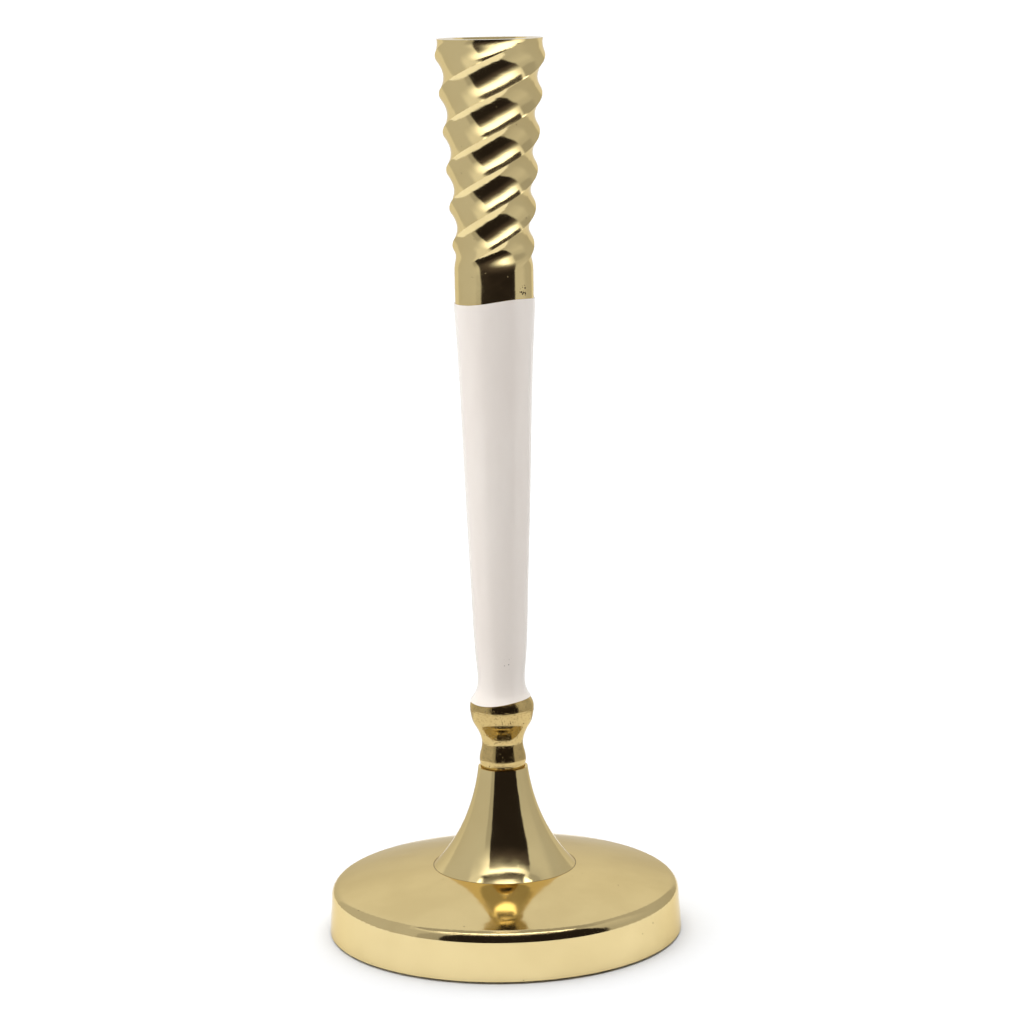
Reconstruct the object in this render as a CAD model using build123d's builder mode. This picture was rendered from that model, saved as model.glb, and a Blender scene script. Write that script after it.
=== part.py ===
"""Spiral candle holder for one taper candle.

Five castings stand on one axis and are pulled together by a rod from below: a domed base, a
trumpet, a baluster neck, a tapered stem with a white enamel coat, and a socket whose outside is
a flared square bar twisted into four right-handed ridges.

Millimetres. Z is the axis of the holder and points up, the front is -Y, and z = 0 is the table.
Each piece is drawn from its own bottom seam upwards, and the seams are stacked from the table.
"""

import os
from math import ceil, cos, pi, radians, sin

from build123d import *

# ---- Candle --------------------------------------------------------------------------------
candle_diameter = 22.0
candle_clearance = 0.4  # around the candle
candle_depth = 25.0
mouth_chamfer = 0.8

# ---- Base ----------------------------------------------------------------------------------
skirt_lift = 0.8  # metal above the table, which only the felt touches
base_radius = 59.8
skirt_draft = 1.1  # the skirt is this much narrower at its top edge
skirt_top = 16.3
skirt_edge_radius = 3.8
dome_rise = 6.3  # from the skirt's top edge to the seat of the trumpet
dome_crown = 0.8  # the dome stands this much over a straight cone
base_wall = 3.4
felt_land = 3.0  # width of the ring that the felt is glued to
boss_radius = 13.0
boss_bottom = 14.0

# ---- Felt ----------------------------------------------------------------------------------
felt_thickness = 1.5
felt_inset = 2.4  # from the skirt's lower edge

# ---- Trumpet -------------------------------------------------------------------------------
trumpet_height = 34.2
trumpet_foot_radius = 24.0
trumpet_toe_radius = 20.3
trumpet_toe_height = 4.2
trumpet_low_radius = 15.2
trumpet_low_height = 12.0
trumpet_high_radius = 10.6
trumpet_high_height = 23.3
trumpet_mouth_radius = 8.35
trumpet_wall = 2.6
trumpet_web = 6.0  # solid top under the recess
trumpet_web_radius = 7.3  # of the hollow where it meets the web
foot_rebate_depth = 2.5
foot_rebate_wall = 4.0
foot_rebate_step = 1.5

# ---- Neck ----------------------------------------------------------------------------------
neck_height = 21.3
neck_foot_radius = 6.9
low_bead_radius = 7.85
low_bead_height = 4.4
waist_radius = 6.9
waist_height = 9.8
flare_radius = 8.95
flare_height = 15.6
high_bead_radius = 10.75
recess_depth = 1.5  # the neck's foot stands this deep in the trumpet's mouth
recess_clearance = 0.65

# ---- Stem and its coat ---------------------------------------------------------------------
stem_height = 135.4
stem_foot_radius = 10.7
stem_flare_radius = 10.4
stem_flare_height = 2.8
stem_throat_radius = 8.7
stem_throat_height = 5.6
stem_waist_radius = 7.9
stem_waist_height = 15.5
stem_low_radius = 9.05
stem_low_height = 37.3
stem_middle_radius = 10.4
stem_middle_height = 71.4
stem_high_radius = 11.5
stem_high_height = 105.5
collar_radius = 13.0  # the top of the stem and the plain collar of the socket
stem_core_low_radius = 4.2
stem_core_high_radius = 7.8
coat_thickness = 0.3
coat_gap = 0.03  # between the metal and the coat's inner face
coat_foot = 3.6  # mean height of the coat's lower edge above the stem's bottom
coat_lap = 3.2  # mean height of the coat's upper edge above the stem's top
coat_wave = 1.3  # the coat's brushed edges rise and fall by this

# ---- Spiral socket -------------------------------------------------------------------------
collar_height = 13.0
spiral_height = 75.0
ridge_count = 4
ridge_pitch = 12.3  # height between one ridge and the next on the same side
ridge_drop = 5.75  # the first ridge crosses the front this far below the rim
ridge_taper = 4.4  # how much wider the ridges are at the rim, in a straight line
ridge_flare = 1.1  # and how much more the mouth flares
flute_depth = 2.0
flute_fade = 8.0  # height over which the flutes deepen above the collar
rim_fade = 7.0  # height over which they get shallower again below the rim
rim_flute_depth = 1.1
least_flute_depth = 0.02  # keeps four arcs, not one circle, in the rings of the plain collar
ring_spacing = 2.2  # at most, between the rings that the outside is lofted through

# ---- Registers: a round spigot on each piece fits a bore in the next -----------------------
register_clearance = 0.1
base_register_height = 2.0
neck_spigot_radius = 4.6
neck_spigot_length = 5.0
stem_spigot_radius = 5.6
stem_spigot_length = 4.0
socket_spigot_radius = 8.6
socket_spigot_length = 5.0
spigot_end_gap = 0.5

# ---- Fasteners -----------------------------------------------------------------------------
rod_radius = 3.0
thread_clearance = 0.05
rod_clearance = 0.3
rod_engagement = 28.0
rod_end_gap = 4.0  # of the tapped hole beyond the rod
rod_stub = 1.4  # of the rod below the nut
washer_radius = 6.0
washer_thickness = 1.6
lock_washer_radius = 5.4
lock_washer_thickness = 1.6
lock_washer_slit = 1.2
nut_across_flats = 10.0
nut_height = 5.0

# ---- Seams, from the table up --------------------------------------------------------------
base_top = skirt_top + dome_rise
trumpet_top = base_top + trumpet_height
neck_bottom = trumpet_top - recess_depth
stem_bottom = neck_bottom + neck_height
socket_bottom = stem_bottom + stem_height
collar_top = socket_bottom + collar_height
rim = collar_top + spiral_height

bore_radius = candle_diameter / 2 + candle_clearance
tapped_radius = rod_radius + thread_clearance
rod_hole_radius = rod_radius + rod_clearance
rod_top = socket_bottom + rod_engagement
nut_bottom = boss_bottom - washer_thickness - lock_washer_thickness - nut_height
base_register_radius = trumpet_foot_radius - foot_rebate_wall - register_clearance


def polar(radius, degrees):
    """A point of the ground plane, at an angle from the front towards the right."""
    return (radius * sin(radians(degrees)), -radius * cos(radians(degrees)))


# ---- Base ----------------------------------------------------------------------------------
skirt_top_radius = base_radius - skirt_draft
felt_radius = base_radius - felt_inset
land_height = felt_thickness
hollow_radius = felt_radius - felt_land
dome_middle = (
    (skirt_top_radius + trumpet_foot_radius) / 2,
    (skirt_top + base_top) / 2 + dome_crown,
)

with BuildPart() as base:
    with BuildSketch(Plane.XZ):
        with BuildLine():
            skirt = Line((base_radius, skirt_lift), (skirt_top_radius, skirt_top))
            dome = ThreePointArc(skirt @ 1, dome_middle, (trumpet_foot_radius, base_top))
            Polyline(
                dome @ 1,
                (base_register_radius, base_top),
                (base_register_radius, base_top + base_register_height),
                (rod_hole_radius, base_top + base_register_height),
                (rod_hole_radius, boss_bottom),
                (boss_radius, boss_bottom),
                (boss_radius, base_top - base_wall),
                (trumpet_foot_radius, base_top - base_wall),
            )
            Line((trumpet_foot_radius, base_top - base_wall), (hollow_radius, skirt_top - base_wall))
            Polyline(
                (hollow_radius, skirt_top - base_wall),
                (hollow_radius, land_height),
                (felt_radius, land_height),
                (felt_radius, skirt_lift),
                (base_radius, skirt_lift),
            )
        make_face()
    revolve(axis=Axis.Z)
    circles = base.edges().filter_by(GeomType.CIRCLE)
    skirt_edge = circles.filter_by(lambda circle: abs(circle.radius - skirt_top_radius) < 1e-3)
    fillet(skirt_edge, radius=skirt_edge_radius)
base.part.label = "base"

# ---- Felt pad ------------------------------------------------------------------------------
with BuildPart() as felt_pad:
    with BuildSketch(Plane.XY):
        Circle(felt_radius - register_clearance)
    extrude(amount=felt_thickness)
felt_pad.part.label = "felt_pad"

# ---- Trumpet -------------------------------------------------------------------------------
recess_radius = neck_foot_radius + recess_clearance
web_bottom = trumpet_height - recess_depth - trumpet_web
rebate_radius = trumpet_foot_radius - foot_rebate_wall
spigot_hole_radius = neck_spigot_radius + register_clearance

with BuildPart() as trumpet:
    with BuildSketch(Plane.XZ):
        with BuildLine():
            outside = Spline(
                (trumpet_foot_radius, base_top),
                (trumpet_toe_radius, base_top + trumpet_toe_height),
                (trumpet_low_radius, base_top + trumpet_low_height),
                (trumpet_high_radius, base_top + trumpet_high_height),
                (trumpet_mouth_radius, trumpet_top),
            )
            Polyline(
                outside @ 1,
                (recess_radius, trumpet_top),
                (recess_radius, neck_bottom),
                (spigot_hole_radius, neck_bottom),
                (spigot_hole_radius, base_top + web_bottom),
                (trumpet_web_radius, base_top + web_bottom),
            )
            Spline(
                (trumpet_web_radius, base_top + web_bottom),
                (trumpet_low_radius - trumpet_wall, base_top + trumpet_low_height),
                (rebate_radius - foot_rebate_step, base_top + foot_rebate_depth),
            )
            Polyline(
                (rebate_radius - foot_rebate_step, base_top + foot_rebate_depth),
                (rebate_radius, base_top + foot_rebate_depth),
                (rebate_radius, base_top),
                (trumpet_foot_radius, base_top),
            )
        make_face()
    revolve(axis=Axis.Z)
trumpet.part.label = "trumpet"

# ---- Neck ----------------------------------------------------------------------------------
with BuildPart() as neck:
    with BuildSketch(Plane.XZ):
        with BuildLine():
            Polyline(
                (rod_hole_radius, neck_bottom - neck_spigot_length),
                (neck_spigot_radius, neck_bottom - neck_spigot_length),
                (neck_spigot_radius, neck_bottom),
                (neck_foot_radius, neck_bottom),
            )
            Spline(
                (neck_foot_radius, neck_bottom),
                (low_bead_radius, neck_bottom + low_bead_height),
                (waist_radius, neck_bottom + waist_height),
                (flare_radius, neck_bottom + flare_height),
                (high_bead_radius, stem_bottom),
                tangents=((0.25, 1), (0.15, 1)),
            )
            Polyline(
                (high_bead_radius, stem_bottom),
                (stem_spigot_radius, stem_bottom),
                (stem_spigot_radius, stem_bottom + stem_spigot_length),
                (rod_hole_radius, stem_bottom + stem_spigot_length),
                (rod_hole_radius, neck_bottom - neck_spigot_length),
            )
        make_face()
    revolve(axis=Axis.Z)
neck.part.label = "neck"


# ---- Stem core and enamel coat -------------------------------------------------------------
def stem_outline(proud=0.0):
    """The stem's outside from its foot to its top, moved out by the thickness of a coat."""
    points = (
        (stem_foot_radius, 0),
        (stem_flare_radius, stem_flare_height),
        (stem_throat_radius, stem_throat_height),
        (stem_waist_radius, stem_waist_height),
        (stem_low_radius, stem_low_height),
        (stem_middle_radius, stem_middle_height),
        (stem_high_radius, stem_high_height),
        (collar_radius, stem_height),
    )
    return Spline(*[(r + proud, stem_bottom + z) for r, z in points])


socket_rebate_radius = socket_spigot_radius + register_clearance
socket_rebate_bottom = socket_bottom - socket_spigot_length - spigot_end_gap
stem_rebate_radius = stem_spigot_radius + register_clearance
stem_rebate_top = stem_bottom + stem_spigot_length + spigot_end_gap

with BuildPart() as stem_core:
    with BuildSketch(Plane.XZ):
        with BuildLine():
            outside = stem_outline()
            Polyline(
                outside @ 1,
                (socket_rebate_radius, socket_bottom),
                (socket_rebate_radius, socket_rebate_bottom),
                (stem_core_high_radius, socket_rebate_bottom),
                (stem_core_low_radius, stem_rebate_top),
                (stem_rebate_radius, stem_rebate_top),
                (stem_rebate_radius, stem_bottom),
                outside @ 0,
            )
        make_face()
    revolve(axis=Axis.Z)
stem_core.part.label = "stem_core"

coat_bottom = stem_bottom + coat_foot
coat_top = socket_bottom + coat_lap
coat_reach = collar_radius + coat_thickness + 1

with BuildPart() as enamel_coat:
    with BuildSketch(Plane.XZ):
        with BuildLine():
            inside = stem_outline(coat_gap)
            outside = stem_outline(coat_gap + coat_thickness)
            above = coat_top + 2 * coat_wave
            Polyline(
                outside @ 1,
                ((outside @ 1).X, above),
                ((inside @ 1).X, above),
                inside @ 1,
            )
            Line(inside @ 0, outside @ 0)
        make_face()
    revolve(axis=Axis.Z)
    with BuildSketch(Plane.XZ):
        with BuildLine():
            upper = Spline(
                (-coat_reach, coat_top - 0.8 * coat_wave),
                (-coat_reach / 3, coat_top - 0.4 * coat_wave),
                (coat_reach / 4, coat_top + 0.5 * coat_wave),
                (coat_reach, coat_top),
            )
            lower = Spline(
                (-coat_reach, coat_bottom + 0.3 * coat_wave),
                (-coat_reach / 3, coat_bottom - 0.5 * coat_wave),
                (coat_reach / 4, coat_bottom + 0.3 * coat_wave),
                (coat_reach, coat_bottom + 0.4 * coat_wave),
            )
            Line(upper @ 0, lower @ 0)
            Line(upper @ 1, lower @ 1)
        make_face()
    extrude(amount=coat_reach, both=True, mode=Mode.INTERSECT)
enamel_coat.part.label = "enamel_coat"


# ---- Spiral socket -------------------------------------------------------------------------
def ridge_radius(height):
    """Radius of the ridges at a height above the collar's top, and of the collar below it."""
    share = max(0, height / spiral_height)
    return collar_radius + ridge_taper * share + ridge_flare * share**3


def flute_radius(height):
    """Radius halfway between two ridges: the flutes fade into the collar and towards the rim."""
    rising = sin(pi / 2 * min(1, max(0, height / flute_fade))) ** 2
    to_rim = min(1, (spiral_height - height) / rim_fade)
    depth = rim_flute_depth + (flute_depth * rising - rim_flute_depth) * to_rim
    return ridge_radius(height) - max(depth, least_flute_depth)


turn = 360 / ridge_count


def fluted_ring(height):
    """Outline of the socket at a height above the collar's top: an arc from each ridge to the next."""
    first = turn * (height - spiral_height + ridge_drop) / ridge_pitch
    level = Plane.XY.offset(collar_top + height)
    with BuildLine(level) as ring:
        for angle in (first + k * turn for k in range(ridge_count)):
            ThreePointArc(
                polar(ridge_radius(height), angle),
                polar(flute_radius(height), angle + turn / 2),
                polar(ridge_radius(height), angle + turn),
            )
    return ring.wire()


tapped_bottom = socket_bottom - socket_spigot_length
tapped_depth = socket_spigot_length + rod_engagement + rod_end_gap

with BuildPart() as spiral_socket:
    steps = ceil((collar_height + spiral_height) / ring_spacing)
    heights = [(collar_height + spiral_height) * i / steps - collar_height for i in range(steps + 1)]
    add(Solid.make_loft([fluted_ring(height) for height in heights]))
    with BuildSketch(Plane.XY.offset(tapped_bottom)):
        Circle(socket_spigot_radius)
    extrude(amount=socket_spigot_length)
    with Locations((0, 0, rim)):
        Hole(bore_radius, depth=candle_depth)
    with BuildSketch(Plane.XY.offset(tapped_bottom)):
        Circle(tapped_radius)
    extrude(amount=tapped_depth, mode=Mode.SUBTRACT)
    circles = spiral_socket.edges().filter_by(GeomType.CIRCLE)
    mouth = circles.filter_by_position(Axis.Z, rim, rim)
    chamfer(mouth, length=mouth_chamfer)
spiral_socket.part.label = "spiral_socket"

# ---- Tie rod, washers and nut --------------------------------------------------------------
with BuildPart() as tie_rod:
    with BuildSketch(Plane.XY.offset(nut_bottom - rod_stub)):
        Circle(rod_radius)
    extrude(amount=rod_top - nut_bottom + rod_stub)
    chamfer(tie_rod.edges().filter_by(GeomType.CIRCLE), length=0.5)
tie_rod.part.label = "tie_rod"

with BuildPart() as flat_washer:
    with BuildSketch(Plane.XY.offset(boss_bottom - washer_thickness)):
        Circle(washer_radius)
        Circle(rod_hole_radius, mode=Mode.SUBTRACT)
    extrude(amount=washer_thickness)
flat_washer.part.label = "flat_washer"

with BuildPart() as lock_washer:
    with BuildSketch(Plane.XY.offset(nut_bottom + nut_height)):
        Circle(lock_washer_radius)
        Circle(rod_hole_radius, mode=Mode.SUBTRACT)
        with Locations((lock_washer_radius, 0)):
            Rectangle(2 * lock_washer_radius, lock_washer_slit, mode=Mode.SUBTRACT)
    extrude(amount=lock_washer_thickness)
lock_washer.part.label = "lock_washer"

with BuildPart() as rod_nut:
    with BuildSketch(Plane.XY.offset(nut_bottom)):
        RegularPolygon(nut_across_flats / 2, 6, major_radius=False)
        Circle(tapped_radius, mode=Mode.SUBTRACT)
    extrude(amount=nut_height)
rod_nut.part.label = "rod_nut"

# ---- Files ---------------------------------------------------------------------------------
pieces = (
    base,
    felt_pad,
    trumpet,
    neck,
    stem_core,
    enamel_coat,
    spiral_socket,
    tie_rod,
    flat_washer,
    lock_washer,
    rod_nut,
)
os.makedirs("parts", exist_ok=True)
for piece in pieces:
    export_step(piece.part, f"parts/{piece.part.label}.step")
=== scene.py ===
"""Looks of the spiral candle holder: materials, felt, floor, light and the reference camera.

Metres. The frame is the CAD part's: Z is the holder's axis, the front is -Y, z = 0 is the table.
The values in brackets mean:
    a noise   scale in features per metre, detail, and its roughness where that isn't a half
    a relief  strength and height of a bump
    specks    cell and radius, and the share of the cells that have one
    a step    from, to, level before and level after; a smooth one, and 0 to 1 without its levels
    a window  from, to, softness of its first step and of its second
"""

from math import cos, pi, radians, sin

import bmesh
import bpy
from mathutils import Euler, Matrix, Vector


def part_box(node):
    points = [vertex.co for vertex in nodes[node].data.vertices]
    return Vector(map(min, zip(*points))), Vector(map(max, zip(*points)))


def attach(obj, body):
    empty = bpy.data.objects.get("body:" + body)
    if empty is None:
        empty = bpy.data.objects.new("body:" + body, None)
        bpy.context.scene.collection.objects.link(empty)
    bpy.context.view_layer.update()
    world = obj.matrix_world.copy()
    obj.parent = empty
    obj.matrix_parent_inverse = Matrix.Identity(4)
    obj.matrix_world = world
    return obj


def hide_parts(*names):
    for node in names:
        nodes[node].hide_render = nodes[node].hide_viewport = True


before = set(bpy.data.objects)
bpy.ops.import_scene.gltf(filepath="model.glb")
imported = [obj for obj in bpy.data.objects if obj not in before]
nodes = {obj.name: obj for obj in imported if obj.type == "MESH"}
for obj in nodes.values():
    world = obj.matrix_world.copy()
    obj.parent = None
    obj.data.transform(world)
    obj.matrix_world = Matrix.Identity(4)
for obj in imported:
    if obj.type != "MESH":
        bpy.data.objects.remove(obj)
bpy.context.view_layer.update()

# ---- Measures taken from the frame ---------------------------------------------------------
foot_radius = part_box("trumpet")[1].x
felt_low, felt_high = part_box("felt_pad")
felt_radius = felt_high.x

# ---- Camera --------------------------------------------------------------------------------
image_size = 1024  # pixels along each side of the reference picture
focal_pixels = 3081
sensor = 36.0  # millimetres
camera_distance = 1.009  # from the holder's axis
camera_height = 0.330
camera_pitch = 10.454  # degrees below the horizon
camera_roll = 1.0  # degrees, as the yaw is
camera_yaw = -0.2585

camera_data = bpy.data.cameras.new("camera")
camera_data.sensor_width = sensor
camera_data.lens = sensor * focal_pixels / image_size
camera = bpy.data.objects.new("camera", camera_data)
bpy.context.collection.objects.link(camera)
camera.location = (0, -camera_distance, camera_height)
aim = Euler((radians(90 - camera_pitch), 0, radians(camera_yaw))).to_matrix()
roll = Euler((0, 0, radians(-camera_roll))).to_matrix()
camera.rotation_euler = (aim @ roll).to_euler()
bpy.context.scene.camera = camera

# ---- Node helpers --------------------------------------------------------------------------
mix_sockets = {"FLOAT": (0, 2, 3, 0), "RGBA": (0, 6, 7, 2)}  # share, both inputs, result


def put(tree, socket, value):
    """Links a socket to an input, or sets the input's value."""
    if isinstance(value, bpy.types.NodeSocket):
        tree.links.new(value, socket)
    else:
        socket.default_value = value


def fill(tree, node, **inputs):
    """Puts values or sockets into a node's inputs; an underscore stands for a space."""
    for name, value in inputs.items():
        put(tree, node.inputs[name.replace("_", " ")], value)


def add(tree, kind, settings=None, **inputs):
    """Adds a shader node with its settings and inputs."""
    made = tree.nodes.new("ShaderNode" + kind)
    for name, value in (settings or {}).items():
        setattr(made, name, value)
    fill(tree, made, **inputs)
    return made


def calc(tree, operation, *values):
    """A Math node's result."""
    made = add(tree, "Math", {"operation": operation})
    for socket, value in zip(made.inputs, values):
        put(tree, socket, value)
    return made.outputs[0]


def both(tree, first, second):
    """The product of two shares."""
    return calc(tree, "MULTIPLY", first, second)


def ramp(tree, value, low, high, start=0.0, end=1.0):
    """A step: maps low..high to start..end, smoothly and clamped."""
    levels = {"From_Min": low, "From_Max": high, "To_Min": start, "To_Max": end}
    smooth = {"interpolation_type": "SMOOTHSTEP"}
    return add(tree, "MapRange", smooth, Value=value, **levels).outputs[0]


def within(tree, value, low, high, soft_low, soft_high):
    """A window: 1 between two limits, with a soft step at each."""
    up = ramp(tree, value, low - soft_low / 2, low + soft_low / 2)
    down = ramp(tree, value, high - soft_high / 2, high + soft_high / 2, 1, 0)
    return both(tree, up, down)


def mix(tree, kind, share, first, second):
    """A mix of two numbers (FLOAT) or colours (RGBA)."""
    made = add(tree, "Mix", {"data_type": kind})
    *sockets, result = mix_sockets[kind]
    for socket, value in zip(sockets, (share, first, second)):
        put(tree, made.inputs[socket], value)
    return made.outputs[result]


def over(tree, below, level, share):
    """A number laid over another by a share from 0 to 1."""
    return mix(tree, "FLOAT", share, below, level)


def blend_colours(tree, share, first, second):
    """A mix of two colours."""
    return mix(tree, "RGBA", share, first, second)


def noise(tree, vector, scale, detail, roughness=0.5):
    """Noise from 0 to 1."""
    made = add(tree, "TexNoise", Vector=vector, Scale=scale, Detail=detail, Roughness=roughness)
    return made.outputs[0]


def bump(tree, height, strength, distance, below=None, sunk=False):
    """A normal raised or sunk by a height from 0 to 1, on top of another normal if one is given."""
    made = add(tree, "Bump", {"invert": sunk}, Height=height, Strength=strength, Distance=distance)
    if below is not None:
        put(tree, made.inputs["Normal"], below)
    return made.outputs[0]


def place(tree):
    """The point of the surface, in the object's own metres."""
    return add(tree, "TexCoord").outputs["Object"]


def stretched(tree, vector, scale):
    """The same point with each axis scaled."""
    return add(tree, "Mapping", Vector=vector, Scale=scale).outputs[0]


def near(tree, vector, centre, radius):
    """1 at a point of the surface, falling to 0 at a distance from it."""
    gap = add(tree, "VectorMath", {"operation": "DISTANCE"})
    put(tree, gap.inputs[0], vector)
    put(tree, gap.inputs[1], centre)
    return ramp(tree, gap.outputs["Value"], 0, radius, 1, 0)


def from_axis(tree, vector, squeeze=1):
    """Distance of a point from the axis, with its X scaled first."""
    out = add(tree, "VectorMath", {"operation": "LENGTH"})
    put(tree, out.inputs[0], stretched(tree, vector, (squeeze, 1, 0)))
    return out.outputs["Value"]


def specks(tree, vector, cell, radius, share):
    """1 inside small round specks: one in each cell of a grid, kept in a share of the cells."""
    cells = add(tree, "TexVoronoi", Vector=vector, Scale=1 / cell)
    dot = ramp(tree, cells.outputs["Distance"], speck_core * radius / cell, radius / cell, 1, 0)
    chance = add(tree, "SeparateColor", Color=cells.outputs["Color"]).outputs[0]
    return both(tree, dot, calc(tree, "LESS_THAN", chance, share))


def new_material(name):
    """A material with a Principled shader; returns the material, its tree and the shader."""
    material = bpy.data.materials.new(name)
    material.use_nodes = True
    tree = material.node_tree
    return material, tree, tree.nodes["Principled BSDF"]


# ---- Brass ---------------------------------------------------------------------------------
brass_edge = (0.92, 0.84, 0.66, 1)  # tints grazing reflections, which would be white
cloud_noise, cloud_step = (45, 3), (0.35, 0.7)  # where the tone turns dull
line_stretch = (250, 250, 2600)  # lines per metre along each axis: they run round the holder
line_noise = (1, 4, 0.6)
line_roughness, line_relief = 0.04, (0.05, 0.00002)
wear_noise, wear_step = (160, 4), (0.3, 0.75)
swell_noise, swell_height = (75, 2), 0.0005
grain_noise, grain_step = (1700, 2), (0.52, 0.72)
# pit_and_shade_colour also paints the shade in the seam round the trumpet's foot
pit_and_shade_colour, pit_roughness, pit_relief = (0.06, 0.037, 0.018, 1), 0.35, (0.6, 0.0001)
speck_core = 0.6  # the part of a speck's radius that is full
lone_pits = (0.0009, 0.00022)
crowded_pits = (0.00075, 0.0004, 0.85)
crowd_core = 0.4  # a crowd is full from this nearness to its middle on
# how dark the painted shade ring in the seam is, from 0 to 1
ring_shade_strength = 0.8


def brass(name, tones, roughness, speckle=0.0, grain=0.0, swell=0.3, pitted=(), shaded_rings=()):
    """Polished cast brass: cloudy tone, fine polishing lines, hand-made swells, casting pit marks
    and, where given, rings of painted shade.

    tones are the clear and the dull one, and roughness goes from polished to worn. speckle is the
    share of the cells that have a pit, grain the strength of a fine dark grain, and swell that of
    the swells. pitted lists places where pit marks crowd, as (centre, radius), and soiled lists
    rings of painted shade round the axis, as (radius, width).
    """
    material, tree, shader = new_material(name)
    at = place(tree)
    clouds = ramp(tree, noise(tree, at, *cloud_noise), *cloud_step)
    pits_and_shade = specks(tree, at, *lone_pits, speckle)
    for centre, radius in pitted:
        crowd = ramp(tree, near(tree, at, centre, radius), 0, crowd_core)
        crowd = both(tree, crowd, specks(tree, at, *crowded_pits))
        pits_and_shade = calc(tree, "MAXIMUM", pits_and_shade, crowd)
    # Painted shade: a dark ring round the axis, standing for the shade in the seam where the
    # trumpet sits on the base.
    for radius, width in shaded_rings:
        ring = (radius - width / 2, radius + width / 2, width, width)
        ring_shade = both(tree, within(tree, from_axis(tree, at), *ring), ring_shade_strength)
        pits_and_shade = calc(tree, "MAXIMUM", pits_and_shade, ring_shade)
    if grain:
        fine = ramp(tree, noise(tree, at, *grain_noise), *grain_step, 0, grain)
        pits_and_shade = calc(tree, "MAXIMUM", pits_and_shade, fine)
    lines = noise(tree, stretched(tree, at, line_stretch), *line_noise)
    worn = ramp(tree, noise(tree, at, *wear_noise), *wear_step, *roughness)
    rough = calc(tree, "MULTIPLY_ADD", lines, line_roughness, worn)
    normal = bump(tree, lines, *line_relief)
    normal = bump(tree, noise(tree, at, *swell_noise), swell, swell_height, normal)
    normal = bump(tree, pits_and_shade, *pit_relief, normal, sunk=True)
    # pits carries the pit marks, the grain and the painted seam shade into colour, roughness and
    # relief.
    fill(
        tree, shader, Metallic=1.0, Specular_Tint=brass_edge, Normal=normal,
        Base_Color=blend_colours(tree, pits_and_shade, blend_colours(tree, clouds, *tones), pit_and_shade_colour),
        Roughness=over(tree, rough, pit_roughness, pits_and_shade),
    )
    return material


# ---- Enamel, steel and felt ----------------------------------------------------------------
enamel_tones = ((0.89, 0.83, 0.775, 1), (0.85, 0.78, 0.725, 1))
enamel_stretch = (1, 1, 0.3)  # draws its clouds out along the stem
enamel_clouds, enamel_step = (60, 3), (0.3, 0.75)
enamel_roughness, enamel_gloss, enamel_gloss_roughness = 0.2, 0.5, 0.08
enamel_swell, enamel_relief = (120, 2), (0.3, 0.0002)
scuff_colour, scuff_specks = (0.22, 0.19, 0.16, 1), (0.0008, 0.00026, 0.4)
scuff = ((0.0021, -0.0088, 0.094), 0.003)  # its middle and its radius

zinc_tones = ((0.55, 0.57, 0.60, 1), (0.70, 0.70, 0.68, 1))
zinc_clouds, zinc_wear, zinc_step = (400, 3), (900, 3), (0.3, 0.7, 0.28, 0.5)

felt_tones = ((0.05, 0.045, 0.04, 1), (0.12, 0.11, 0.10, 1))
felt_fibres, felt_relief = (2600, 5, 0.7), (0.6, 0.0003)
felt_roughness, felt_sheen = 0.95, 0.4


def enamel():
    """Thick white enamel: slightly warm, glossy, a little uneven."""
    material, tree, shader = new_material("white_enamel")
    at = place(tree)
    clouds = noise(tree, stretched(tree, at, enamel_stretch), *enamel_clouds)
    tone = blend_colours(tree, ramp(tree, clouds, *enamel_step), *enamel_tones)
    marks = both(tree, near(tree, at, *scuff), specks(tree, at, *scuff_specks))
    fill(
        tree, shader, Base_Color=blend_colours(tree, marks, tone, scuff_colour),
        Roughness=enamel_roughness, Coat_Weight=enamel_gloss,
        Coat_Roughness=enamel_gloss_roughness,
        Normal=bump(tree, noise(tree, at, *enamel_swell), *enamel_relief),
    )
    return material


def steel():
    """Zinc-plated steel."""
    material, tree, shader = new_material("zinc_steel")
    at = place(tree)
    fill(
        tree, shader, Metallic=1.0,
        Base_Color=blend_colours(tree, noise(tree, at, *zinc_clouds), *zinc_tones),
        Roughness=ramp(tree, noise(tree, at, *zinc_wear), *zinc_step),
    )
    return material


def felt():
    """Dark felt with a matted pile."""
    material, tree, shader = new_material("felt")
    fibres = noise(tree, place(tree), *felt_fibres)
    fill(
        tree, shader, Base_Color=blend_colours(tree, fibres, *felt_tones),
        Roughness=felt_roughness, Sheen_Weight=felt_sheen,
        Normal=bump(tree, fibres, *felt_relief),
    )
    return material


# ---- The pieces' finishes ------------------------------------------------------------------
gold = ((0.82, 0.67, 0.345, 1), (0.77, 0.62, 0.31, 1))
base_gold = ((0.79, 0.64, 0.33, 1), (0.73, 0.585, 0.295, 1))
warm_gold = ((0.655, 0.495, 0.215, 1), (0.57, 0.42, 0.175, 1))
collar_pits = ((0.0096, -0.0088, 0.2187), 0.0024)
flute_pits = ((0.0073, -0.0131, 0.2476), 0.0006)
seam_gap, seam_width = 0.0001, 0.0003  # the painted shade of the seam lies just outside the trumpet's foot
seam = (foot_radius + seam_gap, seam_width)

polished = brass("polished_brass", gold, roughness=(0.05, 0.09))
fluted = brass(
    "fluted_brass", gold, roughness=(0.07, 0.12), speckle=0.006, swell=0.75,
    pitted=[collar_pits, flute_pits],
)
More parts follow.
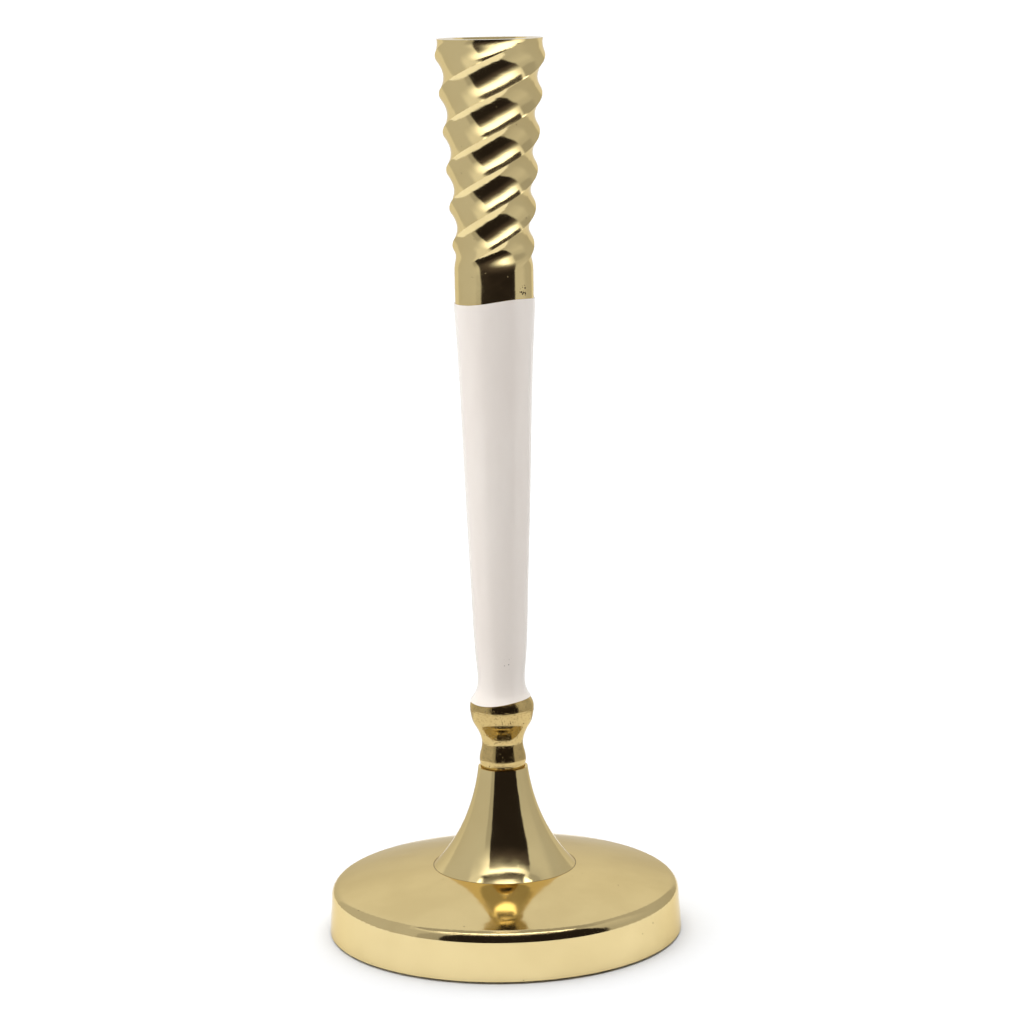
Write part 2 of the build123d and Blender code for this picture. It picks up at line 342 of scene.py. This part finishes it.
# The base's ring is painted shade in the seam round the trumpet's foot.
dished = brass("base_brass", base_gold, roughness=(0.06, 0.11), speckle=0.004, shaded_rings=[seam])
cast = brass("cast_brass", warm_gold, roughness=(0.07, 0.13), speckle=0.16, grain=0.35)
zinc = steel()
finishes = {
    "base": dished,
    "trumpet": polished,
    "spiral_socket": fluted,
    "stem_core": cast,
    "neck": cast,
    "enamel_coat": enamel(),
    "tie_rod": zinc,
    "flat_washer": zinc,
    "lock_washer": zinc,
    "rod_nut": zinc,
}
for name, finish in finishes.items():
    nodes[name].material_slots[0].material = finish

# ---- Felt pad ------------------------------------------------------------------------------
felt_segments = 256
felt_edge_steps = 12
weld_distance = 1e-7


def felt_disc():
    """A thin felt disc with a rounded cut edge."""
    mesh = bmesh.new()
    half = (felt_high.z - felt_low.z) / 2
    profile = [(0, felt_low.z)]
    for step in range(felt_edge_steps + 1):
        turn = pi * step / felt_edge_steps
        profile.append((felt_radius - half * (1 - sin(turn)), half - half * cos(turn)))
    profile.append((0, felt_high.z))
    verts = [mesh.verts.new((r, 0, z)) for r, z in profile]
    edges = [mesh.edges.new(pair) for pair in zip(verts, verts[1:])]
    bmesh.ops.spin(
        mesh, geom=verts + edges, axis=(0, 0, 1), cent=(0, 0, 0), angle=2 * pi,
        steps=felt_segments, use_merge=True,
    )
    bmesh.ops.remove_doubles(mesh, verts=mesh.verts, dist=weld_distance)
    bmesh.ops.recalc_face_normals(mesh, faces=mesh.faces)
    data = bpy.data.meshes.new("felt_disc")
    mesh.to_mesh(data)
    mesh.free()
    data.shade_smooth()
    disc = bpy.data.objects.new("felt_disc", data)
    bpy.context.collection.objects.link(disc)
    data.materials.append(felt())
    return disc


pad = felt_disc()
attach(pad, "root")
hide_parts("felt_pad")

# ---- Floor ---------------------------------------------------------------------------------
floor_reach = 400.0
floor_tones = ((0.70, 0.713, 0.735, 1), (0.715, 0.728, 0.75, 1))
floor_noise, floor_roughness = (300, 2), 0.9

bpy.ops.mesh.primitive_plane_add(size=2 * floor_reach)
floor = bpy.context.object
floor.name = "floor"
floor_material, tree, shader = new_material("pale_floor")
fill(
    tree, shader, Roughness=floor_roughness, Specular_IOR_Level=0.0,
    Base_Color=blend_colours(tree, noise(tree, place(tree), *floor_noise), *floor_tones),
)
floor.data.materials.append(floor_material)

# ---- Light tent ----------------------------------------------------------------------------
# The world gives the diffuse light of the enamel and the floor. Mirrors see this tent instead,
# which widens towards its roof. In front, towards the camera, it has a dark opening, above it a
# bright curtain and on top a dark header. Sides are degrees from the front (-Y) towards the
# right, and heights start at the table.
tent_sides = 192
tent_profile = ((0.19, 0.0), (0.19, 0.306), (0.24, 0.44), (0.31, 0.64))  # radius and height
tent_width = 1.25  # how much wider than deep the tent is
studio_white = (1.0, 0.99, 0.97, 1)
dark_tint, tint_step = (1.0, 0.78, 0.76, 1), (0.02, 0.25)  # its dark parts are warmer

opening = (-38, 60.5, 2, 4)
opening_glow = (0.19, 0.26, 0.02, 0.08)  # it is dark, with a faint glow higher up
curtain_rise, curtain_sharpness, curtain_light = (0.225, 0.355), 2.5, 2.6
curtain_fade = (25, 62, 1, 0.3)  # it is dimmer towards the right
header, header_rise, header_light = (-60, 52, 12, 4), (0.444, 0.46), 0.05

left_light, left_rise = 0.60, (0.19, 0.36)  # the left wall gets brighter higher up,
left_high = (-68, -38, 0.85, 2.1)  # most of all towards the front,
left_delay = (-105, -72, 0.30, 0)  # and starts this much higher towards its back
post, post_top, post_light = (-52, -38, 3, 1), (0.18, 0.22, 1, 0), 0.45  # beside the opening
right_light = 0.55  # at the right wall's foot, and above it as (from, to, level)
right_levels = ((0.05, 0.14, 0.61), (0.14, 0.22, 0.66), (0.24, 0.32, 0.58), (0.33, 0.38, 0.43))
far_right, far_right_light = (92, 108), 0.53
back, back_rise = (138, 234, 6, 6), (0.02, 0.12, 0.68, 0.84)

roof_lamp = (-0.15, -0.08, 3.0, 0.42)  # along Y: bright in front of the first, then dim
roof_rim, roof_rim_light = (0.243, 0.263), 0.15  # outside it, over the header, the roof is dark


def angles(tree, output):
    """Side in degrees and height of a texture coordinate."""
    parts = add(tree, "SeparateXYZ", Vector=add(tree, "TexCoord").outputs[output]).outputs
    turned = calc(tree, "ARCTAN2", parts["X"], calc(tree, "MULTIPLY", parts["Y"], -1.0))
    return calc(tree, "DEGREES", turned), parts["Z"]


def full_turn(tree, side):
    """The same side as 0 to 360 degrees, so that a window can lie across the back."""
    return calc(tree, "MODULO", calc(tree, "ADD", side, 360.0), 360.0)


def tent_part(name, profile, pattern):
    """A part of the tent, turned from a profile of radii and heights; only mirrors see it."""
    mesh = bmesh.new()
    turns = [2 * pi * i / tent_sides for i in range(tent_sides)]
    rings = []
    for radius, height in profile:
        ring = [(tent_width * radius * cos(a), radius * sin(a), height) for a in turns]
        rings.append([mesh.verts.new(point) for point in ring])
    for lower, upper in zip(rings, rings[1:]):
        for i in range(tent_sides):
            mesh.faces.new((lower[i - 1], lower[i], upper[i], upper[i - 1]))
    if len(rings) == 1:
        mesh.faces.new(rings[0])
    data = bpy.data.meshes.new(name)
    mesh.to_mesh(data)
    mesh.free()
    part = bpy.data.objects.new(name, data)
    bpy.context.collection.objects.link(part)
    material, tree, shader = new_material(name)
    tree.nodes.remove(shader)
    strength = pattern(tree)
    tint = blend_colours(tree, ramp(tree, strength, *tint_step), dark_tint, studio_white)
    glow = add(tree, "Emission", Color=tint, Strength=strength)
    put(tree, tree.nodes["Material Output"].inputs["Surface"], glow.outputs[0])
    data.materials.append(material)
    part.visible_camera = part.visible_diffuse = part.visible_shadow = False


def wall_pattern(tree):
    """Light of the tent's wall, each part laid over those before it."""
    side, height = angles(tree, "Object")
    late = calc(tree, "SUBTRACT", height, ramp(tree, side, *left_delay))
    left = over(tree, left_light, ramp(tree, side, *left_high), ramp(tree, late, *left_rise))
    in_post = both(tree, within(tree, side, *post), ramp(tree, height, *post_top))
    left = over(tree, left, post_light, in_post)
    right = right_light
    for low, high, level in right_levels:
        right = over(tree, right, level, ramp(tree, height, low, high))
    right = over(tree, right, far_right_light, ramp(tree, side, *far_right))
    light = over(tree, right, left, calc(tree, "LESS_THAN", side, 0.0))
    at_back = within(tree, full_turn(tree, side), *back)
    light = over(tree, light, ramp(tree, height, *back_rise), at_back)
    curtain = calc(tree, "POWER", ramp(tree, height, *curtain_rise), curtain_sharpness)
    curtain = both(tree, curtain, ramp(tree, side, *curtain_fade))
    glow = ramp(tree, height, *opening_glow)
    front = calc(tree, "MULTIPLY_ADD", curtain, curtain_light, glow)
    light = over(tree, light, front, within(tree, side, *opening))
    in_header = both(tree, within(tree, side, *header), ramp(tree, height, *header_rise))
    return over(tree, light, header_light, in_header)


def roof_pattern(tree):
    """Light of the tent's roof: a lamp over its front, dimmer behind and dark at the front rim."""
    side = angles(tree, "Object")[0]
    at = place(tree)
    lamp = ramp(tree, add(tree, "SeparateXYZ", Vector=at).outputs["Y"], *roof_lamp)
    outside = ramp(tree, from_axis(tree, at, 1 / tent_width), *roof_rim)
    in_rim = both(tree, outside, within(tree, side, *header))
    return over(tree, lamp, roof_rim_light, in_rim)


tent_part("tent_wall", tent_profile, wall_pattern)
tent_part("tent_roof", tent_profile[-1:], roof_pattern)

# ---- World ---------------------------------------------------------------------------------
# Sides are measured as in the tent. Heights are sines of the angle above the horizon.
wall_light = 0.58
left_side, left_gain = (-110, -45, 40, 10), 2.5  # times the walls' light
front_side, front_top, front_light = (-40, 62, 10, 10), (0.6, 0.8, 1, 0), 0.09
front_tint = (1.0, 0.72, 0.5, 1)
behind, behind_heights, behind_light = (120, 240, 20, 20), (0.3, 0.86, 0.1, 0.05), 1.6
overhead_start, overhead_full = 58, 68  # degrees above the horizon
overhead_light = 4.0

world = bpy.data.worlds.new("studio")
bpy.context.scene.world = world
world.use_nodes = True
tree = world.node_tree
side, height = angles(tree, "Generated")
at_left = within(tree, side, *left_side)
in_front = both(tree, within(tree, side, *front_side), ramp(tree, height, *front_top))
at_back = within(tree, full_turn(tree, side), *behind)
at_back = both(tree, at_back, within(tree, height, *behind_heights))
overhead = ramp(tree, height, sin(radians(overhead_start)), sin(radians(overhead_full)))
light = over(tree, wall_light, wall_light * left_gain, at_left)
light = over(tree, light, front_light, in_front)
light = over(tree, light, behind_light, at_back)
light = over(tree, light, overhead_light, overhead)
tint = blend_colours(tree, in_front, studio_white, front_tint)
fill(tree, tree.nodes["Background"], Color=tint, Strength=light)

bpy.context.scene.view_settings.view_transform = "Standard"
